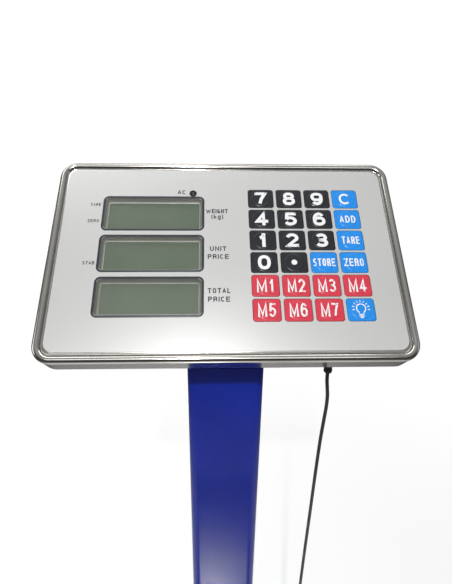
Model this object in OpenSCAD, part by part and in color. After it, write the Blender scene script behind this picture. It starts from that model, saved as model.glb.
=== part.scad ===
// Price-computing platform scale: tilted display and keypad head on a column,
// with a load-cell platform. Origin: centre of the footprint, on the floor. +Z up, -Y faces the user.

/* [Head] */
// Width of the head across its rolled rim
head_w = 330; // [320:1:360]
// Depth of the head, measured up its tilted face
head_d = 207; // [200:1:220]
// Radius of the head's corners
head_r = 17; // [12:1:20]
// Depth of the head's side wall, square to its face
wall_h = 22; // [20:1:34]
// Tilt of the face from horizontal
face_tilt = 45; // [40:1:48]
// Height of the head's front edge above the floor
head_z = 852; // [700:1:900]
// Width of the rolled bead around the face
bead_w = 7.5; // [7:0.5:9]
// Thickness of the sheet metal of the head
sheet_t = 1.5; // [1.2:0.1:2]
// Width of the wedge case under the head
case_w = 296; // [280:1:300]
// Wall of the wedge case
case_t = 2.5; // [2:0.5:3]

/* [Face] */
// Distance between key columns
key_dx = 27.8; // [27.5:0.1:28.5]
// Distance between key rows
key_dy = 23.45; // [23.2:0.05:24]
// Width of a key
key_w = 24.7; // [24:0.1:24.9]
// Height of a key
key_h = 21.1; // [20:0.1:21.3]
// Gap around a key in its aperture
key_gap = 0.3; // [0.2:0.05:0.4]
// Travel of a key
key_travel = 0.5; // [0.3:0.1:0.6]
// Width of a display window
lcd_w = 97.8; // [95:0.1:99]
// Height of a display window
lcd_h = 39.2; // [35:0.1:40]
// Distance between display windows
lcd_dy = 43.5; // [43:0.1:45]

/* [Column] */
// Width of the column tube
col_w = 80; // [60:1:90]
// Depth of the column tube
col_d = 40; // [36:1:50]
// Corner radius of the column tube
col_r = 10; // [6:1:12]
// Wall of the column tube
col_t = 2; // [1.5:0.5:3]
// Gap from the head's front edge back to the column's face
col_set = 67; // [60:1:70]

/* [Base] */
// Width of the platter
plat_w = 400; // [380:5:450]
// Length of the platter
plat_d = 500; // [480:5:600]
// Thickness of the platter's sheet
plat_t = 1.5; // [1.2:0.1:2]
// Depth of the platter's turned-down edge
plat_rim = 38; // [30:1:40]
// Side of the square base tube
tube = 40; // [40:1:42]
// Wall of the base tube
tube_t = 2; // [1.5:0.5:3]
// Height of the base tubes above the floor
tube_z = 28; // [26:1:30]
// Travel of a levelling foot
foot_travel = 12; // [8:1:14]

/* [Cable] */
// Diameter of the load-cell cable
cable_d = 4; // [3.6:0.1:5]

/* [Hidden] */
KEYS = [
    ["key_7", "key_8", "key_9", "key_c"], ["key_4", "key_5", "key_6", "key_add"],
    ["key_1", "key_2", "key_3", "key_tare"], ["key_0", "key_dot", "key_store", "key_zero"],
    ["key_m1", "key_m2", "key_m3", "key_m4"], ["key_m5", "key_m6", "key_m7", "key_lamp"]];
$fn = 48;

steel = [0.72, 0.72, 0.70];
paint = [0.06, 0.15, 0.55];
black = [0.07, 0.07, 0.08];

// Places along Y are first counted back from the head's front edge, then the whole part
// is moved so that its footprint is centred on the origin.
ct = cos(face_tilt);
st = sin(face_tilt);
plat_back = col_set - 15;
plat_front = plat_back - plat_d;
wall_in = 0.4;
rear_most = (head_d - wall_in) * ct + wall_h * st;
head_y = -(plat_front + rear_most) / 2;
col_y = head_y + col_set + col_d / 2;
plat_y = head_y + (plat_front + plat_back) / 2;

// Base stack, from the floor up
rail_x = 165;
rail_len = 470;
tube_top = tube_z + tube;
cell_gap = 5;
cell_h = 24;
spider_h = 22;
pad_h = 4;
cell_z = tube_top + cell_gap;
spider_z = cell_z + cell_h + cell_gap;
pad_z = spider_z + spider_h;
plat_z = pad_z + pad_h;
rail_back = plat_y + rail_len / 2;
cross_len = 2 * rail_x - tube;
foot_x = rail_x;
foot_y = rail_len / 2 - 30;

// Case under the head: its floor, and the profile points in Y and Z from the head's edge
case_floor = -44;
case_front = [12 * ct + wall_h * st, 12 * st - wall_h * ct];
case_nose = [62, case_floor];
case_heel = [148, case_floor];
case_top = [194 * ct + wall_h * st, 194 * st - wall_h * ct];

// Keypad and windows, on the face, from the centre line and the head's front edge
key_x0 = 34.1;
key_y0 = 163.5;
lcd_x = -70.1;
lcd_y0 = 146.4;
lcd_z = -5;
led_pos = [-32.4, 169.4];
film_t = 0.8;
field_in = 9.6;
field_r = 9;
field_w = head_w - 2 * field_in;
field_d = head_d - 2 * field_in;

// Points of the load-cell cable, from the gland under the head down to the base
cable_x = 112;
gland_y = col_y;
gland_len = 22;
gland_z = head_z + case_floor - gland_len;
base_gland_y = rail_back + 14;
base_gland_z = tube_z + tube / 2;
drop = gland_y - base_gland_y;
CABLE = [
    [112, 0, gland_z], [112.4, 0, gland_z - 10], [113.6, 0, gland_z - 20], [115, 0, gland_z - 32],
    [115.4, 1, gland_z - 48], [114.6, 2, gland_z - 70], [113.6, 3, gland_z - 100],
    [112.8, 4, gland_z - 150], [112, 5, gland_z - 220], [111, 6, gland_z - 300],
    [110.2, 6, gland_z - 380], [110, 5, gland_z - 460], [110, 4, gland_z - 540],
    [110.4, 2, gland_z - 600], [111, 0, gland_z - 650], [111.6, -2, 98], [112, -5, 82],
    [112, -10, 68], [112, -17, 57.5], [112, -25, 51], [112, -33, 48.4], [112, -drop, 48]];

// Filleted rectangle from exact arcs
module rrect(w, h, r) {
    square([w - 2 * r, h], center = true);
    square([w, h - 2 * r], center = true);
    for (x = [-1, 1], y = [-1, 1]) translate([x * (w / 2 - r), y * (h / 2 - r)]) circle(r);
}

module slab(w, h, r, z0, z1) {
    translate([0, 0, z0]) linear_extrude(z1 - z0) rrect(w, h, r);
}

// Moves children onto the tilted face: x across, y up the face, z out of it
module on_face() {
    translate([0, head_y, head_z]) rotate([face_tilt, 0, 0]) children();
}

module at_key(row, col) {
    on_face() translate([key_x0 + col * key_dx, key_y0 - row * key_dy, 0]) children();
}

module at_each_key() {
    for (row = [0:5], col = [0:3])
        translate([key_x0 + col * key_dx, key_y0 - row * key_dy, 0]) children();
}

module at_each_lcd() {
    for (i = [0:2]) translate([lcd_x, lcd_y0 - i * lcd_dy, 0]) children();
}

module key_holes(z0, z1) {
    at_each_key() slab(key_w + 2 * key_gap, key_h + 2 * key_gap, 2.8, z0, z1);
}

// Square tube along X or Y
module tube_x(len, side, t) {
    difference() {
        cube([len, side, side], center = true);
        cube([len + 1, side - 2 * t, side - 2 * t], center = true);
    }
}

module tube_y(len, side, t) {
    rotate([0, 0, 90]) tube_x(len, side, t);
}

module hex_screw(d, len, head_af, head_h) {
    translate([0, 0, -len]) cylinder(d = d, h = len);
    cylinder(d = head_af / cos(30), h = head_h, $fn = 6);
}

// ---- Base ----

// Rail closed at both ends by a welded plate
module base_rail(side) {
    color("dimgray") difference() {
        translate([side * rail_x, plat_y, tube_z + tube / 2]) difference() {
            cube([tube, rail_len, tube], center = true);
            cube([tube - 2 * tube_t, rail_len - 2 * tube_t, tube - 2 * tube_t], center = true);
        }
        for (y = [-foot_y, foot_y])
            translate([side * foot_x, plat_y + y, tube_z - 1]) cylinder(d = 10.2, h = 4);
    }
}

module base_rail_left() { base_rail(-1); }
module base_rail_right() { base_rail(1); }

module base_cross(y) {
    color("dimgray") translate([0, y, tube_z + tube / 2]) tube_x(cross_len, tube, tube_t);
}

module base_cross_front() { base_cross(plat_y - rail_len / 2 + tube / 2); }

// Carries the column's foot and the cable's gland
module base_cross_rear() {
    color("dimgray") difference() {
        base_cross(rail_back - tube / 2);
        for (x = [-68, 68]) translate([x, rail_back - 20, tube_top - 5]) cylinder(d = 8.4, h = 10);
        for (x = [-40, 40]) translate([x, rail_back - 5, tube_z + tube / 2])
            rotate([-90, 0, 0]) cylinder(d = 8.4, h = 10);
        translate([cable_x, rail_back - 5, base_gland_z]) rotate([-90, 0, 0]) cylinder(d = 8.4, h = 10);
    }
}

module load_cell_bed() {
    bed_len = rail_len - 2 * tube;
    color("dimgray") {
        difference() {
            union() {
                translate([0, plat_y, tube_z + tube / 2]) tube_y(bed_len, tube, tube_t);
                translate([-15, plat_y + 17, tube_top - 1]) cube([30, 46, cell_gap + 1]);
            }
            for (y = [28, 52]) translate([0, plat_y + y, tube_z - 1]) cylinder(d = 8.4, h = tube + 8);
        }
    }
}

module load_cell() {
    color("silver") difference() {
        translate([-15, plat_y - 65, cell_z]) cube([30, 130, cell_h]);
        for (y = [-14, 14]) translate([-16, plat_y + y, cell_z + cell_h / 2])
            rotate([0, 90, 0]) cylinder(d = 17, h = 32);
        translate([-16, plat_y - 14, cell_z + cell_h / 2 - 3]) cube([32, 28, 6]);
        for (y = [28, 52]) translate([0, plat_y + y, cell_z - 1]) cylinder(d = 8.2, h = 14);
        for (y = [-28, -52]) translate([0, plat_y + y, cell_z + cell_h - 13]) cylinder(d = 8.2, h = 14);
    }
}

module load_cell_bolts() {
    color("gray") {
        for (y = [28, 52]) translate([0, plat_y + y, tube_z])
            mirror([0, 0, 1]) hex_screw(8, tube + cell_gap + 10, 13, 5);
        for (y = [-28, -52]) translate([0, plat_y + y, spider_z + spider_h / 2])
            hex_screw(8, spider_h / 2 + cell_gap + 10, 13, 5);
    }
}

module spider_spine() {
    color("dimgray") difference() {
        union() {
            translate([-20, plat_y - 170, spider_z]) cube([40, 340, spider_h]);
            translate([-15, plat_y - 63, spider_z - cell_gap]) cube([30, 46, cell_gap + 1]);
        }
        for (y = [-28, -52]) translate([0, plat_y + y, spider_z - cell_gap - 1]) {
            cylinder(d = 8.4, h = 40);
            translate([0, 0, 1 + cell_gap + spider_h / 2]) cylinder(d = 18, h = spider_h);
        }
    }
}

module spider_arm(y) {
    color("dimgray") translate([0, plat_y + y, spider_z + spider_h / 2]) cube([330, 30, spider_h], center = true);
}

module spider_arm_front() { spider_arm(-185); }
module spider_arm_rear() { spider_arm(185); }

module platter_pads() {
    color(black) for (x = [-145, 145], y = [-185, 185])
        translate([x, plat_y + y, pad_z]) cylinder(d = 24, h = pad_h);
}

module platter() {
    color("lightgray") translate([0, plat_y, 0]) difference() {
        slab(plat_w, plat_d, 8, plat_z + plat_t - plat_rim, plat_z + plat_t);
        slab(plat_w - 2 * plat_t, plat_d - 2 * plat_t, 8 - plat_t, plat_z - plat_rim, plat_z);
    }
}

module foot(x, y) {
    translate([foot_x * x, plat_y + foot_y * y, 0]) {
        color(black) rotate_extrude() polygon([[0, 0], [20, 0], [20, 4], [17, 8], [9, 10], [0, 10]]);
        color("silver") translate([0, 0, 9]) cylinder(d = 10, h = 45);
    }
}

module foot_front_left() { foot(-1, -1); }
module foot_front_right() { foot(1, -1); }
module foot_rear_left() { foot(-1, 1); }
module foot_rear_right() { foot(1, 1); }

module foot_nuts() {
    color("silver") for (x = [-foot_x, foot_x], y = [-foot_y, foot_y])
        translate([x, plat_y + y, tube_z - 8]) difference() {
            cylinder(d = 17 / cos(30), h = 8, $fn = 6);
            translate([0, 0, -1]) cylinder(d = 10.2, h = 10);
        }
}

// ---- Column ----

foot_plate_t = 8;
foot_top = tube_top + foot_plate_t;
stub_h = 60;

module column_stub(z, h) {
    translate([0, col_y, z]) linear_extrude(h) difference() {
        rrect(col_w - 2 * col_t - 0.4, col_d - 2 * col_t - 0.4, col_r - col_t - 0.2);
        rrect(col_w - 2 * col_t - 6.4, col_d - 2 * col_t - 6.4, col_r - col_t - 3.2);
    }
}

module column_foot() {
    color(paint) difference() {
        union() {
            translate([-80, rail_back - 38, tube_top]) cube([160, col_y + 30 - rail_back + 38, foot_plate_t]);
            translate([-80, rail_back, tube_z]) cube([160, 6, tube + 1]);
            for (x = [-66, 60]) translate([x, 0, 0]) rotate([90, 0, 90]) linear_extrude(6)
                polygon([[rail_back + 5, tube_z + 2], [rail_back + 5, tube_top + 1],
                         [col_y + 24, tube_top + 1], [col_y + 24, tube_top - 10]]);
            column_stub(foot_top - 1, stub_h + 1);
        }
        for (x = [-68, 68]) translate([x, rail_back - 20, tube_top - 1]) cylinder(d = 9, h = 12);
        for (x = [-40, 40]) translate([x, rail_back - 1, tube_z + tube / 2])
            rotate([-90, 0, 0]) cylinder(d = 9, h = 10);
        for (z = [foot_top + 20, foot_top + 42])
            translate([0, col_y, z]) rotate([-90, 0, 0]) cylinder(d = 6.4, h = col_d / 2);
    }
}

module column_bolts() {
    color("silver") {
        for (x = [-68, 68]) translate([x, rail_back - 20, foot_top]) hex_screw(8, 30, 13, 5.3);
        for (x = [-40, 40]) translate([x, rail_back + 6, tube_z + tube / 2])
            rotate([-90, 0, 0]) hex_screw(8, 24, 13, 5.3);
        for (z = [foot_top + 20, foot_top + 42]) translate([0, col_y + col_d / 2, z])
            rotate([-90, 0, 0]) hex_screw(6, 8, 10, 4);
    }
}

column_top = head_z + case_floor - 4;

module column() {
    color(paint) difference() {
        translate([0, col_y, foot_top]) linear_extrude(column_top - foot_top) difference() {
            rrect(col_w, col_d, col_r);
            rrect(col_w - 2 * col_t, col_d - 2 * col_t, col_r - col_t);
        }
        for (z = [foot_top + 20, foot_top + 42, column_top - 20, column_top - 42])
            translate([0, col_y, z]) rotate([-90, 0, 0]) cylinder(d = 6.4, h = col_d);
    }
}

module bubble_level() {
    translate([-62, col_y + 8, foot_top]) {
        color("silver") difference() {
            cylinder(d = 20, h = 7);
            translate([0, 0, 2]) cylinder(d = 16, h = 6);
        }
        color([0.6, 0.9, 0.3]) translate([0, 0, 2]) cylinder(d = 16, h = 5.6);
    }
}

// ---- Head ----

screw_x = 46;
screw_y = 74;

module head_bracket() {
    color(paint) difference() {
        union() {
            translate([-56, col_y - col_d / 2 + 1, column_top]) cube([112, 66, 4]);
            column_stub(column_top - stub_h, stub_h + 1);
        }
        for (x = [-screw_x, screw_x], y = [8, 46]) translate([x, col_y + y - 10, column_top - 1])
            cylinder(d = 5.5, h = 7);
        for (z = [column_top - 20, column_top - 42])
            translate([0, col_y, z]) rotate([-90, 0, 0]) cylinder(d = 6.4, h = col_d / 2);
    }
}

module cover_screw_spots() {
    for (x = [-head_w / 2 + 9, head_w / 2 - 9], y = [16, head_d / 2, head_d - 16])
        translate([x, y, -wall_h]) children();
}

module head_screws() {
    color("silver") {
        for (x = [-screw_x, screw_x], y = [8, 46]) translate([x, col_y + y - 10, column_top])
            mirror([0, 0, 1]) hex_screw(5, 6.4, 8, 3.5);
        for (z = [column_top - 20, column_top - 42]) translate([0, col_y + col_d / 2, z])
            rotate([-90, 0, 0]) hex_screw(6, 8, 10, 4);
        on_face() cover_screw_spots() rotate_extrude() polygon([[0, 9], [1.6, 9], [1.6, 0], [3, 0],
                                                               [3, -1.2], [2, -2], [0, -2]]);
    }
}

module bead() {
    r = bead_w / 2;
    bx = head_w / 2 - r;
    by = head_d / 2 - r;
    translate([0, head_d / 2, 2.5 - r]) {
        for (s = [-1, 1]) {
            translate([-(head_w / 2 - head_r), s * by, 0]) rotate([0, 90, 0])
                cylinder(r = r, h = head_w - 2 * head_r);
            translate([s * bx, -(head_d / 2 - head_r), 0]) rotate([-90, 0, 0])
                cylinder(r = r, h = head_d - 2 * head_r);
        }
        for (c = [[1, 1, 0], [-1, 1, 90], [-1, -1, 180], [1, -1, 270]])
            translate([c[0] * (head_w / 2 - head_r), c[1] * (head_d / 2 - head_r), 0]) rotate([0, 0, c[2]])
                rotate_extrude(angle = 90) translate([head_r - r, 0]) circle(r);
    }
}

module head_shell() {
    out_w = head_w - 2 * wall_in;
    out_d = head_d - 2 * wall_in;
    color(steel) on_face() {
        difference() {
            union() {
                translate([0, head_d / 2, 0]) difference() {
                    slab(out_w, out_d, head_r - wall_in, -wall_h, 0);
                    slab(out_w - 2 * sheet_t, out_d - 2 * sheet_t, head_r - wall_in - sheet_t,
                         -wall_h - 1, -sheet_t);
                }
                bead();
            }
            key_holes(-sheet_t - 1, 1);
            at_each_lcd() slab(lcd_w - 4, lcd_h - 4, 4, -sheet_t - 1, 1);
            translate([led_pos[0], led_pos[1], -sheet_t - 1]) cylinder(d = 6.6, h = 3);
        }
    }
}

module face_overlay() {
    color([0.78, 0.79, 0.79]) on_face() difference() {
        translate([0, head_d / 2, 0]) slab(field_w, field_d, field_r, 0, film_t);
        key_holes(-1, 2);
        at_each_lcd() slab(lcd_w - 4, lcd_h - 4, 4, -1, 2);
        translate([led_pos[0], led_pos[1], -1]) cylinder(d = 6.6, h = 3);
    }
}

module key(row, col) {
    tint = row > 3 && col < 3 || row == 4 ? [0.84, 0.26, 0.32]
         : col == 3 || row == 3 && col == 2 ? [0.10, 0.52, 0.88] : black;
    color(tint) at_key(row, col) {
        slab(key_w, key_h, 2.5, -2, 1.1);
        translate([0, 0, 1]) cylinder(d = 16.4, h = 0.4);
        slab(key_w + 1.4, key_h + 1.1, 2.5, -3.2, -1.8);
        translate([0, 0, -6.3]) cylinder(d = 9, h = 5);
    }
}

// One board carries the display panels and the snap domes of the keypad
module front_board() {
    color("seagreen") on_face() {
        translate([0, head_d / 2, 0]) slab(300, 176, 4, -9.6, -8);
        at_each_key() translate([0, 0, -8.2]) cylinder(d = 12, h = 1.2);
        for (x = [-142, 0, 18, 142], y = [30, 174]) translate([x, y, -8.2]) cylinder(d = 6, h = 8.2 - sheet_t);
    }
}

module lcd_panels() {
    color([0.42, 0.49, 0.42]) on_face() at_each_lcd()
        slab(lcd_w + 1, lcd_h - 1, 1, -8, lcd_z);
}

module charge_led() {
    color([0.1, 0.02, 0.02]) on_face() translate([led_pos[0], led_pos[1], 0]) {
        translate([0, 0, -8]) cylinder(d = 6, h = 8.2);
        intersection() {
            translate([0, 0, -1.8]) sphere(d = 7.2);
            cylinder(d = 6, h = 4);
        }
    }
}

// Direction and inward normal of a case wall, and that wall moved inward
function unit(v) = v / norm(v);
function inward(a, b) = let (d = unit(b - a)) [-d[1], d[0]];

module case_solid(points, w) {
    translate([-w / 2, head_y, head_z]) rotate([90, 0, 90]) linear_extrude(w) polygon(points);
}

module back_cover() {
    n_front = inward(case_front, case_nose);
    n_rear = inward(case_heel, case_top);
    up = [-st, ct];
    color("gray") difference() {
        union() {
            on_face() translate([0, head_d / 2, 0])
                slab(head_w - 2 * wall_in - 2 * sheet_t - 0.4, head_d - 2 * wall_in - 2 * sheet_t - 0.4,
                     head_r - wall_in - sheet_t - 0.2, -wall_h, -wall_h + 2);
            case_solid([case_front + up, case_nose, case_heel, case_top + up], case_w);
        }
        case_solid([case_front + case_t * n_front + 4 * up, case_nose + case_t * [0.2, 1],
                    case_heel + case_t * [-1, 1], case_top + case_t * n_rear + 4 * up], case_w - 2 * case_t);
        on_face() cover_screw_spots() cylinder(d = 3.6, h = 6, center = true);
        for (x = [-screw_x, screw_x], y = [8, 46])
            translate([x, col_y + y - 10, head_z + case_floor - 1]) cylinder(d = 5.2, h = 6);
        translate([cable_x, gland_y, head_z + case_floor - 1]) cylinder(d = 12, h = 6);
        translate([switch_x - 9.5, switch_y - 6.5, head_z + case_floor - 1]) cube([19, 13, 6]);
        translate([jack_x, jack_y, head_z + case_floor - 1]) cylinder(d = 8, h = 6);
    }
}

module battery() {
    color([0.2, 0.2, 0.24]) translate([-50, head_y + 73, head_z + case_floor + case_t]) cube([100, 66, 44]);
}

// ---- Switch, power jack and cable, under the case ----

switch_x = 76;
switch_y = head_y + 112;
jack_x = -84;
jack_y = head_y + 100;
floor_z = head_z + case_floor;

module power_switch() {
    color(black) translate([switch_x, switch_y, floor_z]) difference() {
        union() {
            translate([-10.5, -7.5, -2]) cube([21, 15, 2]);
            translate([-9.3, -6.3, -1]) cube([18.6, 12.6, 17]);
        }
        translate([-8, -5.5, -3]) cube([16, 11, 11]);
    }
}

module power_rocker() {
    color(black) translate([switch_x, switch_y, floor_z + 1]) rotate([0, -8, 0]) {
        translate([0, 5, 0]) rotate([90, 0, 0]) linear_extrude(10)
            polygon([[-7.2, -4], [7.2, -4], [7, 0], [3, 3.5], [-3, 3.5], [-7, 0]]);
        translate([0, 5.3, 0]) rotate([90, 0, 0]) cylinder(d = 3, h = 10.6);
    }
}

module power_jack() {
    color(black) translate([jack_x, jack_y, floor_z]) {
        difference() {
            union() {
                translate([0, 0, -2.5]) cylinder(d = 11, h = 2.5);
                translate([0, 0, -1]) cylinder(d = 7.9, h = 15);
            }
            translate([0, 0, -3]) cylinder(d = 5.6, h = 12);
        }
        translate([0, 0, -1]) cylinder(d = 2, h = 12);
    }
}

module cable_gland() {
    color(black) translate([cable_x, gland_y, floor_z]) difference() {
        rotate_extrude() polygon([[0, 8], [5.8, 8], [5.8, 0], [9, 0], [9, -5], [7, -7], [4.6, -8],
                                  [4, -12], [4.6, -17], [4.6, -20], [3.4, -gland_len], [0, -gland_len]]);
        translate([0, 0, -gland_len + 0.01]) cylinder(d = cable_d, h = gland_len + 8);
    }
}

module base_gland() {
    color(black) translate([cable_x, rail_back, base_gland_z]) rotate([-90, 0, 0]) difference() {
        rotate_extrude() polygon([[0, -tube_t], [4, -tube_t], [4, 0], [7, 0], [7, 5], [4.6, 6.5],
                                  [cable_d / 2 + 0.8, 14], [0, 14]]);
        translate([0, 0, -tube_t - 1]) cylinder(d = cable_d, h = 14.9 + tube_t);
    }
}

// Sweep of an eight-sided section along the cable's points
sides = 8;
function tangent(i) = unit(CABLE[min(i + 1, len(CABLE) - 1)] - CABLE[max(i - 1, 0)]);
function ring(i) =
    let (t = tangent(i), a = unit(cross(t, [1, 0, 0])), b = cross(t, a))
    [for (k = [0:sides - 1]) [0, col_y, 0] + CABLE[i]
        + cable_d / 2 * (cos(k * 360 / sides) * a + sin(k * 360 / sides) * b)];

module load_cell_cable() {
    n = len(CABLE);
    points = [for (i = [0:n - 1]) each ring(i)];
    walls = [for (i = [0:n - 2], k = [0:sides - 1], half = [0, 1])
        let (a = i * sides + k, b = i * sides + (k + 1) % sides)
        half == 0 ? [a, b, b + sides] : [a, b + sides, a + sides]];
    first = [for (k = [sides - 1:-1:0]) k];
    last = [for (k = [0:sides - 1]) (n - 1) * sides + k];
    color(black) polyhedron(points, concat(walls, [first, last]));
}

base_rail_left();
base_rail_right();
base_cross_front();
base_cross_rear();
load_cell_bed();
load_cell();
load_cell_bolts();
spider_spine();
spider_arm_front();
spider_arm_rear();
platter();
platter_pads();
foot_front_left();
foot_front_right();
foot_rear_left();
foot_rear_right();
foot_nuts();
bubble_level();
column_foot();
column_bolts();
column();
head_bracket();
head_screws();
head_shell();
back_cover();
face_overlay();
front_board();
lcd_panels();
charge_led();
battery();
power_switch();
power_rocker();
power_jack();
cable_gland();
load_cell_cable();
base_gland();
for (row = [0:5], col = [0:3])
    key(row, col);
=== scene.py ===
"""Looks of a price-computing platform scale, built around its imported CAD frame."""

import math

import bmesh
import bpy
from mathutils import Matrix, Vector


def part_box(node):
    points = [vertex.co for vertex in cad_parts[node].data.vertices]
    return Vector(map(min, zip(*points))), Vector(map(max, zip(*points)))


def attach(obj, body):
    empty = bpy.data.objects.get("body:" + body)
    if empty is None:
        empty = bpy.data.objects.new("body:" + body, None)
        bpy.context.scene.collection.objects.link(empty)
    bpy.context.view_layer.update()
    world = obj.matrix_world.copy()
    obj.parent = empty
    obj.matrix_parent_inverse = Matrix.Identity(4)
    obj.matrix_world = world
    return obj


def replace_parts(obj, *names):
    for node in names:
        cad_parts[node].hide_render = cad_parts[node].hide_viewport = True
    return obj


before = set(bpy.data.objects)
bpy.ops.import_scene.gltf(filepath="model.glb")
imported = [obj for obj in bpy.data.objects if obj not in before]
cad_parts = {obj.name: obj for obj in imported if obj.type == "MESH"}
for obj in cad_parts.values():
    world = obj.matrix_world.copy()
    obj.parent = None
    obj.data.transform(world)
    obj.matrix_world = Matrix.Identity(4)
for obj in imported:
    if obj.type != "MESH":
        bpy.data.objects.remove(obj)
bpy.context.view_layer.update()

MM = 0.001

# ---- The head's own frame: x across, y up the face, z out of the face, in millimetres ----

FACE_TILT = math.radians(45)
HEAD_W, HEAD_D, HEAD_R = 330.0, 207.0, 17.0
WALL_H, WALL_IN, SHEET_T = 22.0, 0.4, 1.5
BEAD_W, BEAD_TOP = 7.5, 2.5
FIELD_IN, FILM_T = 9.6, 0.8
CASE_FLOOR = -44.0

C, S = math.cos(FACE_TILT), math.sin(FACE_TILT)
shell_lo, shell_hi = (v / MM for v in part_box("head_shell"))
HEAD_Y = shell_hi.y - (HEAD_D - WALL_IN) * C - WALL_H * S
HEAD_Z = shell_lo.z - WALL_IN * S + WALL_H * C
ROW = Matrix.Scale(MM, 4)
FACE = ROW @ Matrix.Translation((0, HEAD_Y, HEAD_Z)) @ Matrix.Rotation(FACE_TILT, 4, "X")
HEAD = ROW @ Matrix.Translation((0, HEAD_Y, HEAD_Z))

# ---- Camera: placed from the head's front edge, in millimetres and degrees ----

CAM_FROM_HEAD = Vector((-14.2, -300.8, 183.9))
CAM_YAW, CAM_PITCH, CAM_ROLL = math.radians(2.09), math.radians(21.82), math.radians(-0.63)
FOCAL_MM, SENSOR_MM = 25.77, 36.0


def make_camera():
    ahead = Vector((math.sin(CAM_YAW) * math.cos(CAM_PITCH),
                    math.cos(CAM_YAW) * math.cos(CAM_PITCH), -math.sin(CAM_PITCH)))
    right = Vector((math.cos(CAM_YAW), -math.sin(CAM_YAW), 0))
    down = ahead.cross(right)
    across = right * math.cos(CAM_ROLL) + down * math.sin(CAM_ROLL)
    up = right * math.sin(CAM_ROLL) - down * math.cos(CAM_ROLL)
    data = bpy.data.cameras.new("camera")
    data.lens, data.sensor_width = FOCAL_MM, SENSOR_MM
    cam = bpy.data.objects.new("camera", data)
    bpy.context.collection.objects.link(cam)
    turn = Matrix((across, up, -ahead)).transposed()
    cam.matrix_world = Matrix.Translation((Vector((0, HEAD_Y, HEAD_Z)) + CAM_FROM_HEAD) * MM) @ turn.to_4x4()
    bpy.context.scene.camera = cam


make_camera()

# ---- Load-cell cable: its route in millimetres, x, y and z, from the gland under the head to the base ----

CABLE_D = 4.0
GLAND_LEN = 22.0
gland_lo, gland_hi = (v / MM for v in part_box("cable_gland"))
COL_Y = (gland_lo.y + gland_hi.y) / 2
TIP_Z = gland_lo.z
END_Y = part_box("base_gland")[1].y / MM - COL_Y
CABLE = [(112, 0, TIP_Z), (112.4, 0, TIP_Z - 10), (113.6, 0, TIP_Z - 20), (115, 0, TIP_Z - 32),
         (115.4, 1, TIP_Z - 48), (114.6, 2, TIP_Z - 70), (113.6, 3, TIP_Z - 100),
         (112.8, 4, TIP_Z - 150), (112, 5, TIP_Z - 220), (111, 6, TIP_Z - 300),
         (110.2, 6, TIP_Z - 380), (110, 5, TIP_Z - 460), (110, 4, TIP_Z - 540),
         (110.4, 2, TIP_Z - 600), (111, 0, TIP_Z - 650), (111.6, -2, 98), (112, -5, 82),
         (112, -10, 68), (112, -17, 57.5), (112, -25, 51), (112, -33, 48.4), (112, END_Y, 48)]


def smooth_path(points, cuts=5):
    """A curve through points, as a dense row of points."""
    ends = [points[0] * 2 - points[1], *points, points[-1] * 2 - points[-2]]
    path = []
    for p0, p1, p2, p3 in zip(ends, ends[1:], ends[2:], ends[3:]):
        for k in range(cuts):
            t = k / cuts
            path.append(0.5 * (2 * p1 + (p2 - p0) * t + (2 * p0 - 5 * p1 + 4 * p2 - p3) * t * t
                               + (3 * p1 - p0 - 3 * p2 + p3) * t ** 3))
    return [*path, points[-1]]


def tube_mesh(path, radius, sides=16):
    """A closed round tube along a path, without twist."""
    bm = bmesh.new()
    across = Vector((1, 0, 0))
    rings = []
    for i, p in enumerate(path):
        ahead = (path[min(i + 1, len(path) - 1)] - path[max(i - 1, 0)]).normalized()
        across = (across - ahead * across.dot(ahead)).normalized()
        other = ahead.cross(across)
        turns = (2 * math.pi * k / sides for k in range(sides))
        rings.append([bm.verts.new(p + (across * math.cos(a) + other * math.sin(a)) * radius) for a in turns])
    for lower, upper in zip(rings, rings[1:]):
        for k in range(sides):
            bm.faces.new((lower[k], lower[k - 1], upper[k - 1], upper[k]))
    bm.faces.new(rings[0])
    bm.faces.new(reversed(rings[-1]))
    bmesh.ops.recalc_face_normals(bm, faces=bm.faces)
    for face in bm.faces:
        face.smooth = len(face.verts) == 4
    mesh = bpy.data.meshes.new("load_cell_lead")
    bm.to_mesh(mesh)
    bm.free()
    return mesh


def make_cable():
    path = smooth_path([Vector((x, COL_Y + y, z)) * MM for x, y, z in CABLE])
    cable = bpy.data.objects.new("load_cell_lead", tube_mesh(path, CABLE_D / 2 * MM))
    bpy.context.collection.objects.link(cable)
    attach(cable, "root")
    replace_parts(cable, "load_cell_cable")
    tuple(path[0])
    return cable


lead = make_cable()

# ---- Materials ----


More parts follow.
